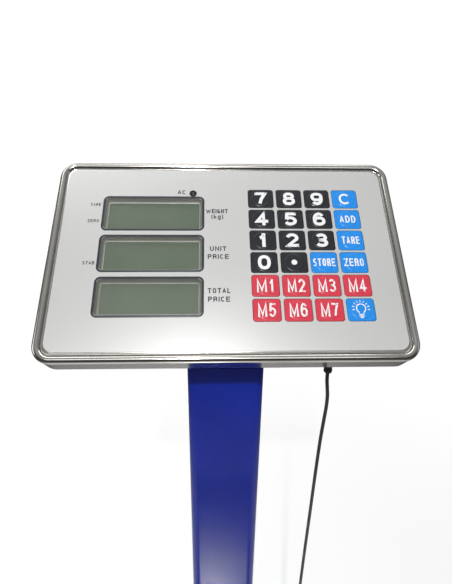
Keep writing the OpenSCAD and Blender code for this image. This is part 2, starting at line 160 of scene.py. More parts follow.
class Nodes:
    """A node tree under construction, with short ways to add what most materials here need."""

    def __init__(self, name, **settings):
        self.mat = bpy.data.materials.new(name)
        self.mat.use_nodes = True
        self.tree = self.mat.node_tree
        self.shader = self.tree.nodes["Principled BSDF"]
        for key, value in settings.items():
            self.shader.inputs[key.replace("_", " ")].default_value = value
        self.bumps = None

    def new(self, kind, **values):
        node = self.tree.nodes.new(kind)
        for key, value in values.items():
            if key in node.inputs:
                node.inputs[key].default_value = value
            else:
                setattr(node, key, value)
        return node

    def link(self, out, to):
        self.tree.links.new(out, to)

    def place(self, stretch=(1, 1, 1), turn=(0, 0, 0)):
        """Coordinates fixed to the piece, in metres, stretched and turned."""
        coord = self.new("ShaderNodeTexCoord")
        mapping = self.new("ShaderNodeMapping")
        mapping.inputs["Scale"].default_value = stretch
        mapping.inputs["Rotation"].default_value = turn
        self.link(coord.outputs["Object"], mapping.inputs["Vector"])
        return mapping.outputs["Vector"]

    def noise(self, scale, detail=3.0, rough=0.5, **place):
        node = self.new("ShaderNodeTexNoise", Scale=scale, Detail=detail, Roughness=rough)
        self.link(self.place(**place), node.inputs["Vector"])
        return node.outputs["Fac"]

    def ramp(self, fac, stops):
        node = self.new("ShaderNodeValToRGB")
        elements = node.color_ramp.elements
        while len(elements) < len(stops):
            elements.new(0.5)
        for element, (at, colour) in zip(elements, stops):
            element.position = at
            element.color = (*colour, 1) if len(colour) == 3 else colour
        self.link(fac, node.inputs["Fac"])
        return node.outputs["Color"]

    def spread(self, fac, low, high):
        node = self.new("ShaderNodeMapRange")
        node.inputs["To Min"].default_value = low
        node.inputs["To Max"].default_value = high
        self.link(fac, node.inputs["Value"])
        return node.outputs["Result"]

    def mix(self, fac, a, b):
        node = self.new("ShaderNodeMix", data_type="RGBA")
        for value, socket in ((fac, node.inputs[0]), (a, node.inputs[6]), (b, node.inputs[7])):
            if isinstance(value, bpy.types.NodeSocket):
                self.link(value, socket)
            else:
                socket.default_value = value
        return node.outputs[2]

    def to(self, out, socket):
        self.link(out, self.shader.inputs[socket])

    def bump(self, height, distance, strength=1.0):
        node = self.new("ShaderNodeBump", Strength=strength, Distance=distance)
        self.link(height, node.inputs["Height"])
        if self.bumps:
            self.link(self.bumps, node.inputs["Normal"])
        self.bumps = node.outputs["Normal"]
        self.link(self.bumps, self.shader.inputs["Normal"])


def shade(rgb, k):
    return tuple(min(1.0, c * k) for c in rgb)


def polished_steel():
    """Bright stainless with faint drawing lines and wiped smudges."""
    n = Nodes("polished_stainless", Metallic=1.0)
    smudge = n.noise(14, 5, 0.6)
    lines = n.noise(60, 4, 0.6, stretch=(0.3, 12, 12))
    n.to(n.ramp(smudge, [(0.3, (0.46, 0.44, 0.41)), (0.7, (0.54, 0.52, 0.49))]), "Base Color")
    n.to(n.spread(smudge, 0.10, 0.20), "Roughness")
    n.bump(lines, 0.00003, 0.25)
    n.bump(n.noise(26, 2), 0.0012, 0.05)
    return n.mat


def brushed_steel(name, tone, grain, rough):
    """Satin stainless, with its grain along one direction."""
    n = Nodes(name, Metallic=1.0)
    lines = n.noise(700, 4, 0.7, stretch=grain)
    cloud = n.noise(9, 4, 0.6)
    n.to(n.ramp(lines, [(0.25, shade(tone, 0.86)), (0.75, shade(tone, 1.08))]), "Base Color")
    n.to(n.spread(cloud, rough - 0.05, rough + 0.07), "Roughness")
    n.bump(lines, 0.00002, 0.22)
    return n.mat


def overlay_film():
    """Silver-grey polyester film: fine metallic fleck under a satin face."""
    n = Nodes("silver_film", Metallic=0.35, Coat_Weight=0.35, Coat_Roughness=0.28)
    fleck = n.noise(5200, 2, 0.6)
    cloud = n.noise(7, 3)
    base = n.ramp(fleck, [(0.35, (0.455, 0.458, 0.452)), (0.65, (0.505, 0.508, 0.50))])
    tones = [(0.4, (0.42, 0.42, 0.42)), (0.6, (0.52, 0.53, 0.54))]
    n.to(n.mix(0.06, base, n.ramp(cloud, tones)), "Base Color")
    n.to(n.spread(cloud, 0.30, 0.38), "Roughness")
    n.bump(n.noise(900, 3), 0.00003, 0.15)
    n.bump(n.noise(12, 2), 0.0015, 0.05)
    return n.mat


def film_key(name, rgb):
    """Embossed glossy film with a little rub wear and dust."""
    n = Nodes(name, Coat_Weight=0.28, Coat_Roughness=0.08, Specular_IOR_Level=0.22)
    wear = n.noise(260, 5, 0.65)
    cloud = n.noise(45, 3)
    worn = n.ramp(wear, [(0.35, rgb), (0.62, shade(rgb, 1.12)), (0.85, shade(rgb, 1.5))])
    n.to(n.mix(n.spread(cloud, 0.0, 0.15), worn, (*shade(rgb, 0.75), 1)), "Base Color")
    n.to(n.spread(wear, 0.26, 0.42), "Roughness")
    n.bump(n.noise(2600, 2), 0.00002, 0.25)
    n.bump(n.noise(110, 2), 0.0004, 0.10)
    return n.mat


def ink(name, rgb, rough=0.45):
    """Screen-printed ink, slightly uneven."""
    n = Nodes(name)
    patch = n.noise(1400, 3, 0.6)
    n.to(n.ramp(patch, [(0.3, shade(rgb, 0.9)), (0.7, shade(rgb, 1.05))]), "Base Color")
    n.to(n.spread(patch, rough - 0.06, rough + 0.08), "Roughness")
    n.bump(patch, 0.00002, 0.2)
    return n.mat


def plastic(name, rgb, rough=0.4, grain=1800, depth=0.00005):
    """Moulded plastic with a fine spark texture."""
    n = Nodes(name)
    fine = n.noise(grain, 3, 0.6)
    cloud = n.noise(30, 3)
    n.to(n.ramp(cloud, [(0.3, shade(rgb, 0.88)), (0.7, shade(rgb, 1.12))]), "Base Color")
    n.to(n.spread(fine, rough - 0.07, rough + 0.1), "Roughness")
    n.bump(fine, depth, 0.5)
    return n.mat


def gloss_paint():
    """Blue powder coat: glossy, with orange peel and a few rubbed specks."""
    blue = (0.0035, 0.016, 0.255)
    n = Nodes("blue_powder_coat", Coat_Weight=0.14, Coat_Roughness=0.04, Specular_IOR_Level=0.15)
    cloud = n.noise(12, 4)
    specks = n.noise(420, 2, 0.5)
    body = n.ramp(cloud, [(0.3, shade(blue, 0.9)), (0.7, shade(blue, 1.15))])
    mask = n.ramp(specks, [(0.72, (0, 0, 0)), (0.80, (1, 1, 1))])
    n.to(n.mix(mask, body, (0.015, 0.05, 0.38, 1)), "Base Color")
    n.to(n.spread(cloud, 0.18, 0.28), "Roughness")
    n.bump(n.noise(330, 2, 0.4), 0.00025, 0.22)
    return n.mat


def textured_paint():
    """Dark textured powder coat on the base tubes, lighter where it is rubbed."""
    rgb = (0.030, 0.033, 0.037)
    n = Nodes("dark_powder_coat")
    fine = n.noise(900, 3, 0.6)
    rub = n.noise(35, 5, 0.7)
    n.to(n.ramp(rub, [(0.35, rgb), (0.68, shade(rgb, 1.4)), (0.85, shade(rgb, 2.4))]), "Base Color")
    n.to(n.spread(rub, 0.5, 0.62), "Roughness")
    n.bump(fine, 0.0003, 0.4)
    return n.mat


def metal(name, rgb, rough, wear=0.12):
    n = Nodes(name, Metallic=1.0)
    cloud = n.noise(120, 4, 0.6)
    n.to(n.ramp(cloud, [(0.3, shade(rgb, 0.85)), (0.7, shade(rgb, 1.08))]), "Base Color")
    n.to(n.spread(cloud, rough, rough + wear), "Roughness")
    n.bump(n.noise(800, 3), 0.00006, 0.35)
    return n.mat


def lcd_glass():
    """Reflective liquid crystal panel: grey green, a little uneven."""
    n = Nodes("lcd_glass", Coat_Weight=0.3, Coat_Roughness=0.06)
    cloud = n.noise(16, 3, 0.5)
    fine = n.noise(2600, 2)
    base = n.ramp(cloud, [(0.30, (0.040, 0.072, 0.034)), (0.70, (0.062, 0.082, 0.050))])
    tones = [(0.4, (0.06, 0.08, 0.06)), (0.6, (0.12, 0.15, 0.12))]
    n.to(n.mix(0.05, base, n.ramp(fine, tones)), "Base Color")
    n.to(n.spread(cloud, 0.32, 0.40), "Roughness")
    n.bump(fine, 0.00002, 0.1)
    return n.mat


def clear_pane():
    n = Nodes("window_film", Alpha=0.06, Coat_Weight=0.25, Coat_Roughness=0.05, Specular_IOR_Level=0.2)
    cloud = n.noise(22, 3)
    n.to(n.ramp(cloud, [(0.3, (0.30, 0.33, 0.31)), (0.7, (0.36, 0.38, 0.36))]), "Base Color")
    n.to(n.spread(cloud, 0.05, 0.10), "Roughness")
    n.bump(n.noise(35, 2), 0.0006, 0.08)
    return n.mat


def level_fluid():
    n = Nodes("level_fluid", Coat_Weight=1.0, Coat_Roughness=0.03)
    cloud = n.noise(90, 2)
    n.to(n.ramp(cloud, [(0.3, (0.30, 0.62, 0.05)), (0.7, (0.42, 0.75, 0.09))]), "Base Color")
    n.to(n.spread(cloud, 0.08, 0.15), "Roughness")
    return n.mat


STEEL = polished_steel()
COVER = brushed_steel("cover_stainless", (0.52, 0.515, 0.50), (0.05, 1, 1), 0.30)
PLATTER = brushed_steel("platter_stainless", (0.60, 0.60, 0.585), (0.03, 1, 1), 0.27)
FILM = overlay_film()
KEY_INK = {
    "black": film_key("film_black", (0.010, 0.011, 0.015)),
    "blue": film_key("film_blue", (0.008, 0.185, 0.56)),
    "red": film_key("film_red", (0.46, 0.030, 0.052)),
}
WHITE_INK = ink("white_ink", (0.66, 0.66, 0.67), 0.38)
DARK_INK = ink("dark_ink", (0.022, 0.025, 0.032))
FRAME_INK = ink("window_ink", (0.010, 0.013, 0.022), 0.35)
BEZEL = plastic("lcd_surround", (0.165, 0.158, 0.142), 0.42)
# Light grey on a thin lip: a painted highlight for the bright line along the inner edge of each display
# window
EDGE_PAINTED_HIGHLIGHT = plastic("lcd_edge_painted_highlight", (0.40, 0.41, 0.36), 0.3)
LCD = lcd_glass()
PANE = clear_pane()
PAINT = gloss_paint()
BASE_PAINT = textured_paint()
ZINC = metal("zinc_plate", (0.62, 0.62, 0.60), 0.28)
ALUMINIUM = metal("milled_aluminium", (0.72, 0.72, 0.73), 0.32)
BLACK_PLASTIC = plastic("black_plastic", (0.018, 0.018, 0.019), 0.33)
RUBBER = plastic("black_rubber", (0.022, 0.022, 0.022), 0.68, 900, 0.00012)
PVC = plastic("cable_jacket", (0.016, 0.016, 0.017), 0.42, 1500, 0.00006)
lead.data.materials.append(PVC)
BOARD = plastic("solder_mask", (0.01, 0.11, 0.035), 0.3)
BATTERY = plastic("battery_case", (0.02, 0.022, 0.028), 0.5)
LED = plastic("led_lens", (0.016, 0.012, 0.013), 0.12)
LEVEL_FLUID = level_fluid()
LEVEL_BUBBLE = plastic("level_bubble", (0.55, 0.75, 0.25), 0.12)

# ---- Mesh helpers ----


def rounded_outline(w, h, r, arc=8, side=(1, 1)):
    """Points round a filleted rectangle, counter-clockwise, the same number whatever its size."""
    points = []
    corners = ((1, 1, 0), (-1, 1, 90), (-1, -1, 180), (1, -1, 270))
    for i, (cx, cy, start) in enumerate(corners):
        for k in range(arc + 1):
            a = math.radians(start + 90 * k / arc)
            points.append(Vector((cx * (w / 2 - r) + r * math.cos(a), cy * (h / 2 - r) + r * math.sin(a))))
        cx2, cy2, start2 = corners[(i + 1) % 4]
        a = math.radians(start2)
        last = points[-1]
        following = Vector((cx2 * (w / 2 - r) + r * math.cos(a), cy2 * (h / 2 - r) + r * math.sin(a)))
        cuts = side[i % 2]
        points += [last.lerp(following, j / cuts) for j in range(1, cuts)]
    return points


def loft(rings, close_rings=False, cap_first=False, cap_last=False):
    """A mesh through rings of equal length."""
    bm = bmesh.new()
    made = [[bm.verts.new(p) for p in ring] for ring in rings]
    pairs = list(zip(made, made[1:])) + ([(made[-1], made[0])] if close_rings else [])
    count = len(rings[0])
    for a, b in pairs:
        for i in range(count):
            j = (i + 1) % count
            bm.faces.new((a[i], a[j], b[j], b[i]))
    if cap_first:
        bm.faces.new(reversed(made[0]))
    if cap_last:
        bm.faces.new(made[-1])
    bmesh.ops.recalc_face_normals(bm, faces=bm.faces)
    return bm


def finish_mesh(bm, name, sharp=35.0):
    """Smooth faces, with edges kept sharp where they turn by more than so many degrees."""
    for face in bm.faces:
        face.smooth = True
    for edge in bm.edges:
        edge.smooth = edge.calc_face_angle(0) < math.radians(sharp)
    mesh = bpy.data.meshes.new(name)
    bm.to_mesh(mesh)
    bm.free()
    return mesh


def add(name, mesh, material, body="root", space=ROW):
    mesh.transform(space)
    piece = bpy.data.objects.new(name, mesh)
    bpy.context.collection.objects.link(piece)
    mesh.materials.clear()
    mesh.materials.append(material)
    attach(piece, body)
    return piece


def rim_rings(profile, w, h, r, centre=(0, 0), arc=10):
    """Sweeps a profile of (inset, height) points round a filleted rectangle."""
    return [[Vector((p.x + centre[0], p.y + centre[1], height))
             for p in rounded_outline(w - 2 * inset, h - 2 * inset, max(r - inset, 0.3), arc)]
            for inset, height in profile]


def ring_piece(name, profile, w, h, r, centre, material, body="root", space=FACE, sharp=35.0):
    bm = loft(rim_rings(profile, w, h, r, centre), close_rings=True)
    return add(name, finish_mesh(bm, name, sharp), material, body, space)


def turned(name, profile, centre, material, body="root", space=ROW, axis="Z", around=40):
    """A solid of revolution from (radius, height) points; its first and last points are on the axis."""
    turn = Matrix.Rotation(math.radians(90), 4, axis) if axis in "XY" else Matrix.Identity(4)
    place = Matrix.Translation(centre) @ turn
    rings = [[place @ Vector((r * math.cos(a), r * math.sin(a), z))
              for a in (2 * math.pi * k / around for k in range(around))] for r, z in profile]
    bm = loft(rings, cap_first=True, cap_last=True)
    return add(name, finish_mesh(bm, name), material, body, space)


def smooth_step(a, b, x):
    t = min(1.0, max(0.0, (x - a) / (b - a)))
    return t * t * (3 - 2 * t)


# ---- Keys: pillowed, embossed film caps with printed legends ----

KEY_DX, KEY_DY, KEY_W, KEY_H, KEY_R = 27.8, 23.45, 24.7, 21.1, 2.5
KEY_X0, KEY_Y0 = 34.1, 163.5
KEY_TOP, KEY_FOOT = 1.05, -1.4
RING_R = 8.2
KEYS = [
    [("7", "black"), ("8", "black"), ("9", "black"), ("c", "blue")],
    [("4", "black"), ("5", "black"), ("6", "black"), ("add", "blue")],
    [("1", "black"), ("2", "black"), ("3", "black"), ("tare", "blue")],
    [("0", "black"), ("dot", "black"), ("store", "blue"), ("zero", "blue")],
    [("m1", "red"), ("m2", "red"), ("m3", "red"), ("m4", "red")],
    [("m5", "red"), ("m6", "red"), ("m7", "red"), ("lamp", "blue")],
]
DIGIT_SIZE = (12.0, 14.6, 3.2)
WORD_SIZES = {"1": (9.0, 14.6, 3.3), "7": (11.6, 14.6, 3.1), "C": (11.4, 12.6, 2.1),
              "ADD": (15.6, 8.0, 1.25), "TARE": (17.0, 8.0, 1.25), "STORE": (20.6, 8.0, 1.25),
              "ZERO": (18.4, 8.0, 1.25)}
MEMORY_SIZE = (15.9, 12.8, 1.75)


def key_height(x, y):
    """Height of a key's face over its own centre line: a low plateau with a thin embossed ring."""
    r = math.hypot(x, y)
    plateau = 0.20 * smooth_step(9.1, 7.9, r)
    rib = 0.16 * math.exp(-(((r - RING_R) / 0.42) ** 2))
    crown = 0.10 * (1 - (r / 8.0) ** 2) if r < 8.0 else 0.0
    return KEY_TOP + plateau + rib + crown


def key_mesh(name):
    outline = rounded_outline(KEY_W, KEY_H, KEY_R, 6, (11, 13))
    circles = (0.9, 2.2, 3.8, 5.4, 6.6, 7.2, 7.5, 7.75, 7.95, 8.1, 8.25, 8.4, 8.6, 8.85, 9.2)
    rings = []
    for radius in circles:
        ring = [p.normalized() * radius for p in outline]
        rings.append([Vector((p.x, p.y, key_height(p.x, p.y))) for p in ring])
    for t in (0.35, 0.68):
        ring = [(p.normalized() * circles[-1]).lerp(p * 0.93, t) for p in outline]
        rings.append([Vector((p.x, p.y, KEY_TOP)) for p in ring])
    for inset, height in ((0.85, 0.0), (0.6, -0.02), (0.38, -0.09), (0.2, -0.21), (0.07, -0.4), (0.0, -0.65)):
        edge = rounded_outline(KEY_W - 2 * inset, KEY_H - 2 * inset, KEY_R - inset, 6, (11, 13))
        rings.append([Vector((p.x, p.y, KEY_TOP + height)) for p in edge])
    rings.append([Vector((p.x, p.y, KEY_FOOT)) for p in outline])
    return finish_mesh(loft(rings, cap_first=True, cap_last=True), name, 60)


def arc(cx, cy, rx, ry, start, stop, steps=14):
    angles = (math.radians(start + (stop - start) * k / steps) for k in range(steps + 1))
    return [(cx + rx * math.cos(a), cy + ry * math.sin(a)) for a in angles]


def loop(cx, cy, rx, ry):
    """A closed oval. A squarer curve than an ellipse keeps a heavy figure's counter open."""
    points = []
    for k in range(33):
        a = 2 * math.pi * k / 32
        c, s = math.cos(a), math.sin(a)
        points.append((cx + rx * math.copysign(abs(c) ** 0.85, c),
                       cy + ry * math.copysign(abs(s) ** 0.85, s)))
    return points


# Centre lines of plain figures and letters in a unit cell: x to the right, y up from the base line
STEM = [(0, 0), (0, 1)]
GLYPHS = {
    "0": [loop(0.5, 0.5, 0.5, 0.5)],
    "1": [[(0.62, 0), (0.62, 1)], [(0.0, 0.70), (0.34, 0.76), (0.62, 1.0)]],
    "2": [arc(0.5, 0.70, 0.5, 0.30, 168, -22) + [(0.06, 0.0), (1, 0)]],
    "3": [arc(0.5, 0.755, 0.44, 0.245, 158, -90) + [(0.36, 0.51)],
          [(0.36, 0.51)] + arc(0.5, 0.255, 0.5, 0.255, 90, -158)],
    "4": [[(0.70, 0), (0.70, 1), (0, 0.26), (1, 0.26)]],
    "5": [[(0.94, 1), (0.14, 1), (0.06, 0.46)], [(0.06, 0.46)] + arc(0.46, 0.31, 0.54, 0.31, 112, -155)],
    "6": [arc(0.5, 0.53, 0.5, 0.47, 38, 180) + [(0, 0.31)], loop(0.5, 0.305, 0.5, 0.305)],
    "7": [[(0, 1), (1, 1), (0.58, 0.48), (0.38, 0)]],
    "8": [loop(0.5, 0.765, 0.43, 0.235), loop(0.5, 0.262, 0.5, 0.262)],
    "9": [arc(0.5, 0.47, 0.5, 0.47, -142, 0) + [(1, 0.69)], loop(0.5, 0.695, 0.5, 0.305)],
    "A": [[(0, 0), (0.5, 1), (1, 0)], [(0.17, 0.30), (0.83, 0.30)]],
    "B": [STEM, [(0, 1), (0.60, 1)] + arc(0.60, 0.765, 0.33, 0.235, 80, -90, 8) + [(0, 0.53)],
          [(0, 0.53), (0.62, 0.53)] + arc(0.62, 0.265, 0.38, 0.265, 80, -90, 8) + [(0, 0)]],
    "C": [arc(0.5, 0.5, 0.5, 0.5, 44, 316, 22)],
    "D": [STEM, [(0, 1), (0.42, 1)] + arc(0.42, 0.5, 0.58, 0.5, 80, -90) + [(0, 0)]],
    "E": [STEM, [(0, 1), (1, 1)], [(0, 0.52), (0.9, 0.52)], [(0, 0), (1, 0)]],
    "G": [arc(0.5, 0.5, 0.5, 0.5, 44, 330, 22), [(0.58, 0.44), (1, 0.44), (1, 0.06)]],
    "H": [STEM, [(1, 0), (1, 1)], [(0, 0.52), (1, 0.52)]],
    "I": [[(0.5, 0), (0.5, 1)]],
    "L": [[(0, 1), (0, 0), (1, 0)]],
    "M": [[(0, 0), (0, 1), (0.5, 0.08), (1, 1), (1, 0)]],
    "N": [[(0, 0), (0, 1), (1, 0), (1, 1)]],
    "O": [loop(0.5, 0.5, 0.5, 0.5)],
    "P": [STEM, [(0, 1), (0.62, 1)] + arc(0.62, 0.735, 0.38, 0.265, 80, -90, 8) + [(0, 0.47)]],
    "R": [STEM, [(0, 1), (0.60, 1)] + arc(0.60, 0.745, 0.38, 0.255, 80, -90, 8) + [(0, 0.49)],
          [(0.56, 0.49), (0.92, 0.34), (1, 0)]],
    "S": [arc(0.5, 0.755, 0.46, 0.245, 28, 262) + arc(0.5, 0.25, 0.5, 0.25, 82, -154)],
    "T": [[(0, 1), (1, 1)], [(0.5, 0), (0.5, 1)]],
    "U": [[(0, 1), (0, 0.42)] + arc(0.5, 0.42, 0.5, 0.42, 188, 352) + [(1, 0.42), (1, 1)]],
    "W": [[(0, 1), (0.27, 0), (0.5, 0.72), (0.73, 0), (1, 1)]],
    "Z": [[(0, 1), (1, 1), (0, 0), (1, 0)]],
    "k": [STEM, [(0.05, 0.28), (0.95, 0.70)], [(0.36, 0.42), (1, 0)]],
    "g": [loop(0.46, 0.36, 0.46, 0.36),
          [(0.95, 0.72), (0.95, -0.12)] + arc(0.5, -0.12, 0.45, 0.22, -10, -150, 8)],
    "(": [arc(1.0, 0.42, 0.9, 0.72, 122, 238)],
    ")": [arc(0.0, 0.42, 0.9, 0.72, 58, -58)],
}
GLYPH_W = {"1": 0.52, "I": 0.16, "M": 0.95, "W": 1.3, "(": 0.24, ")": 0.24, "k": 0.58, "g": 0.6, "L": 0.6}
LETTER_W, LETTER_GAP = 0.74, 0.22


def ribbon(bm, points, width, square=False):
    """A flat stroke of even width through points, with mitred corners."""
    points = [Vector(p) for p in points]
    closed = (points[0] - points[-1]).length < 1e-6
    if closed:
        points.pop()
    count = len(points)
    sides = []
    for i, p in enumerate(points):
        before = points[i - 1] if closed or i else None
        after = points[(i + 1) % count] if closed or i < count - 1 else None
        d1 = (p - before).normalized() if before is not None else (after - p).normalized()
        d2 = (after - p).normalized() if after is not None else d1
        mean = (d1 + d2).normalized()
        across = Vector((-mean.y, mean.x))
        stretch = min(2.4, 1 / max(0.1, mean.dot(d1)))
        shift = Vector((0, 0))
        if square and (before is None or after is None) and max(abs(mean.x), abs(mean.y)) > 0.996:
            shift = mean * (-width / 2 if before is None else width / 2)
        sides.append([bm.verts.new((*(p + shift + across * k * width / 2 * stretch), 0)) for k in (1, -1)])
    steps = count if closed else count - 1
    for i in range(steps):
        (a, b), (c, d) = sides[i], sides[(i + 1) % count]
        bm.faces.new((b, d, c, a))


def letters(text, width, height, stroke):
    """Letters as flat faces, to a width and cap height in millimetres, centred on the origin."""
    bm = bmesh.new()
    widths = [GLYPH_W.get(ch, LETTER_W) for ch in text]
    unit = width / (sum(widths) + LETTER_GAP * (len(text) - 1))
    x = -width / 2
    for ch, w in zip(text, widths):
        for line in GLYPHS[ch]:
            place = [(x + stroke / 2 + u * (w * unit - stroke),
                      stroke / 2 - height / 2 + v * (height - stroke))
                     for u, v in line]
            ribbon(bm, place, stroke, square=True)
        x += (w + LETTER_GAP) * unit
    return bm


def bulb_bmesh():
    """A plain light-bulb mark: glass, screw lines and rays."""
    bm = bmesh.new()
    at = lambda a, r, cy=1.2: Vector((r * math.cos(math.radians(a)), cy + r * math.sin(math.radians(a))))
    glass = [at(a, 4.1) for a in range(-52, 233, 12)]
    ribbon(bm, [(2.0, -3.4), (2.3, -2.2), *glass, (-2.3, -2.2), (-2.0, -3.4)], 0.95)
    for y, half in ((-4.5, 2.4), (-6.0, 2.3), (-7.4, 1.5)):
        ribbon(bm, [(-half, y), (half, y)], 0.9)
    for a in range(-10, 191, 25):
        ribbon(bm, [at(a, 5.9), at(a, 8.0)], 0.85)
    return bm


def dot_bmesh():
    bm = bmesh.new()
    bmesh.ops.create_circle(bm, cap_ends=True, radius=2.65, segments=32)
    return bm


def print_mesh(bm, name, height, step=None, thick=0.05):
    """Turns flat letters into a thin print that follows a surface."""
    if step:
        for axis in range(2):
            normal = Vector((axis == 0, axis == 1, 0))
            lo = min(v.co[axis] for v in bm.verts)
            hi = max(v.co[axis] for v in bm.verts)
            at = math.floor(lo / step) * step + step
            while at < hi:
                geom = bm.verts[:] + bm.edges[:] + bm.faces[:]
                bmesh.ops.bisect_plane(bm, geom=geom, plane_co=normal * at, plane_no=normal)
                at += step
    faces = bm.faces[:]
    for face in faces:
        if face.normal.z < 0:
            face.normal_flip()
    for v in bm.verts:
        v.co.z = height(v.co.x, v.co.y) + 0.01
    top = bmesh.ops.extrude_face_region(bm, geom=faces)
    for item in top["geom"]:
        if isinstance(item, bmesh.types.BMVert):
            item.co.z += thick
    bmesh.ops.recalc_face_normals(bm, faces=bm.faces)
    return finish_mesh(bm, name, 60)


def legend_for(label):
    if label == "dot":
        return dot_bmesh()
    if label == "lamp":
        return bulb_bmesh()
    text = label.upper()
    size = WORD_SIZES.get(text, DIGIT_SIZE if text.isdigit() else MEMORY_SIZE)
    return letters(text, *size)


def make_keys():
    for row, line in enumerate(KEYS):
        for col, (label, tone) in enumerate(line):
            node = f"key_{label}"
            at = FACE @ Matrix.Translation((KEY_X0 + col * KEY_DX, KEY_Y0 - row * KEY_DY, 0))
            cap = add(f"{node}_cap", key_mesh(node), KEY_INK[tone], node, at)
            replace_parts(cap, node)
            legend = print_mesh(legend_for(label), f"{node}_legend", key_height, 1.2)
            add(f"{node}_legend", legend, WHITE_INK, node, at)


make_keys()

# ---- Face: film, display windows, printed words, lamp ----

LCD_W, LCD_H, LCD_DY, LCD_X, LCD_Y0 = 97.8, 39.2, 43.5, -70.1, 146.4
WINDOW_R = 5.4
LCD_FLOOR = -5.0
PRINT_W = 1.7
LED_AT = (-32.4, 169.4)
WORDS = [
    ("AC", -43.6, 170.9, 8.0, 4.8, 0.95), ("TARE", -126.0, 156.0, 10.0, 3.3, 0.62),
    ("ZERO", -126.6, 137.6, 10.6, 3.3, 0.62), ("STAB", -126.2, 92.8, 11.0, 3.4, 0.65),
    ("WEIGHT", -9.2, 148.9, 21.2, 4.9, 1.02), ("(kg)", -8.8, 142.6, 11.4, 4.9, 0.92),
    ("UNIT", -8.2, 107.6, 15.4, 4.9, 1.02), ("PRICE", -8.2, 99.3, 19.4, 4.9, 1.02),
    ("TOTAL", -7.8, 65.0, 20.2, 5.0, 1.05), ("PRICE", -7.8, 56.8, 19.6, 5.0, 1.05),
]


def make_windows():
    for i in range(3):
        centre = (LCD_X, LCD_Y0 - i * LCD_DY)
        top = FILM_T
        line = [(0, top - 0.1), (0, top + 0.06), (0.15, top + 0.1),
                (PRINT_W + 0.3, top + 0.1), (PRINT_W + 0.3, top - 0.1)]
        surround = [(2.1, -0.2), (2.3, -1.2), (3.4, LCD_FLOOR + 1.2), (4.3, LCD_FLOOR + 0.7),
                    (4.5, LCD_FLOOR - 0.4), (1.2, LCD_FLOOR - 0.4), (1.2, -1.6), (1.9, -1.6)]
        # Thin lip between the surround and the LCD, given the light grey as a painted highlight line
        painted_highlight_lip = [(4.4, LCD_FLOOR + 0.2), (4.4, LCD_FLOOR + 0.85), (4.75, LCD_FLOOR + 0.7),
                 (4.85, LCD_FLOOR + 0.1)]
        ring_piece(f"window_line_{i}", line, LCD_W, LCD_H, WINDOW_R, centre, FRAME_INK)
        ring_piece(f"window_surround_{i}", surround, LCD_W, LCD_H, WINDOW_R, centre, BEZEL)
        ring_piece(f"window_painted_highlight_{i}", painted_highlight_lip, LCD_W, LCD_H, WINDOW_R + 1.0, centre, EDGE_PAINTED_HIGHLIGHT)
        pane = loft(rim_rings([(2.05, 0.15), (2.05, 0.62), (2.3, 0.7)], LCD_W, LCD_H, WINDOW_R, centre),
                    cap_first=True, cap_last=True)
        add(f"window_pane_{i}", finish_mesh(pane, "pane"), PANE, "root", FACE)


def make_words():
    flat = lambda x, y: FILM_T
    for i, (text, x, y, width, height, stroke) in enumerate(WORDS):
        mesh = print_mesh(letters(text, width, height, stroke), f"word_{i}", flat)
        add(f"word_{i}", mesh, DARK_INK, "root", FACE @ Matrix.Translation((x, y, 0)))


make_windows()
make_words()

# ---- Head shell: one pressed pan, swept round its corners ----


def bead_profile():
    """(inset, height) points of the shell's section: wall, rolled bead, groove, face sheet."""
    r = BEAD_W / 2
    start = -math.degrees(math.acos((r - WALL_IN) / r))
    stop = 180 - math.degrees(math.asin((r - BEAD_TOP) / r)) if BEAD_TOP < r else 180
    arc = [start + (stop - start) * k / 22 for k in range(23)]
    bead = [(r - r * math.cos(math.radians(a)), BEAD_TOP - r + r * math.sin(math.radians(a))) for a in arc]
    hem = [(WALL_IN + 1.5, -WALL_H + 0.4), (WALL_IN + 1.2, -WALL_H),
           (WALL_IN + 0.4, -WALL_H), (WALL_IN, -WALL_H + 0.5)]
    foot_in = bead[-1][0]
    sheet = [(foot_in + 0.35, -0.22), (foot_in + 0.9, -0.32), (foot_in + 1.6, -0.3), (FIELD_IN + 0.5, -0.05),
             (FIELD_IN + 6, -0.02), (FIELD_IN + 6, -SHEET_T)]
    back = [(WALL_IN + 2.6, -SHEET_T), (WALL_IN + 1.5, -SHEET_T - 1.2)]
    return hem + bead + sheet + back


def pierced_sheet(name, outer, holes, top, thick):
    """A flat sheet with holes, from outlines."""
    bm = bmesh.new()
    edges = []
    for outline in (outer, *holes):
        verts = [bm.verts.new((p.x, p.y, top)) for p in outline]
        edges += [bm.edges.new((verts[i - 1], verts[i])) for i in range(len(verts))]
    bmesh.ops.triangle_fill(bm, use_beauty=True, edges=edges)
    made = bmesh.ops.extrude_face_region(bm, geom=bm.faces[:])
    for item in made["geom"]:
        if isinstance(item, bmesh.types.BMVert):
            item.co.z -= thick
    bmesh.ops.recalc_face_normals(bm, faces=bm.faces)
    return finish_mesh(bm, name)


def make_shell():
    bm = loft(rim_rings(bead_profile(), HEAD_W, HEAD_D, HEAD_R, (0, HEAD_D / 2), 16), close_rings=True)
    rim = add("head_shell_rim", finish_mesh(bm, "head_shell_rim", 40), STEEL, "root", FACE)
    inset = FIELD_IN + 5.9
    outer = [p + Vector((0, HEAD_D / 2)) for p in
             rounded_outline(HEAD_W - 2 * inset, HEAD_D - 2 * inset, HEAD_R - inset, 16)]
    holes = [[p + Vector((KEY_X0 + col * KEY_DX, KEY_Y0 - row * KEY_DY))
              for p in rounded_outline(KEY_W + 0.6, KEY_H + 0.6, 2.8)]
             for row in range(6) for col in range(4)]
    holes += [[p + Vector((LCD_X, LCD_Y0 - i * LCD_DY)) for p in rounded_outline(LCD_W - 4, LCD_H - 4, 4)]
              for i in range(3)]
    holes.append([p + Vector(LED_AT) for p in rounded_outline(6.6, 6.6, 3.29)])
    sheet = pierced_sheet("head_shell_sheet", outer, holes, -0.03, SHEET_T - 0.03)
    add("head_shell_sheet", sheet, STEEL, "root", FACE)
    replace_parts(rim, "head_shell")


make_shell()


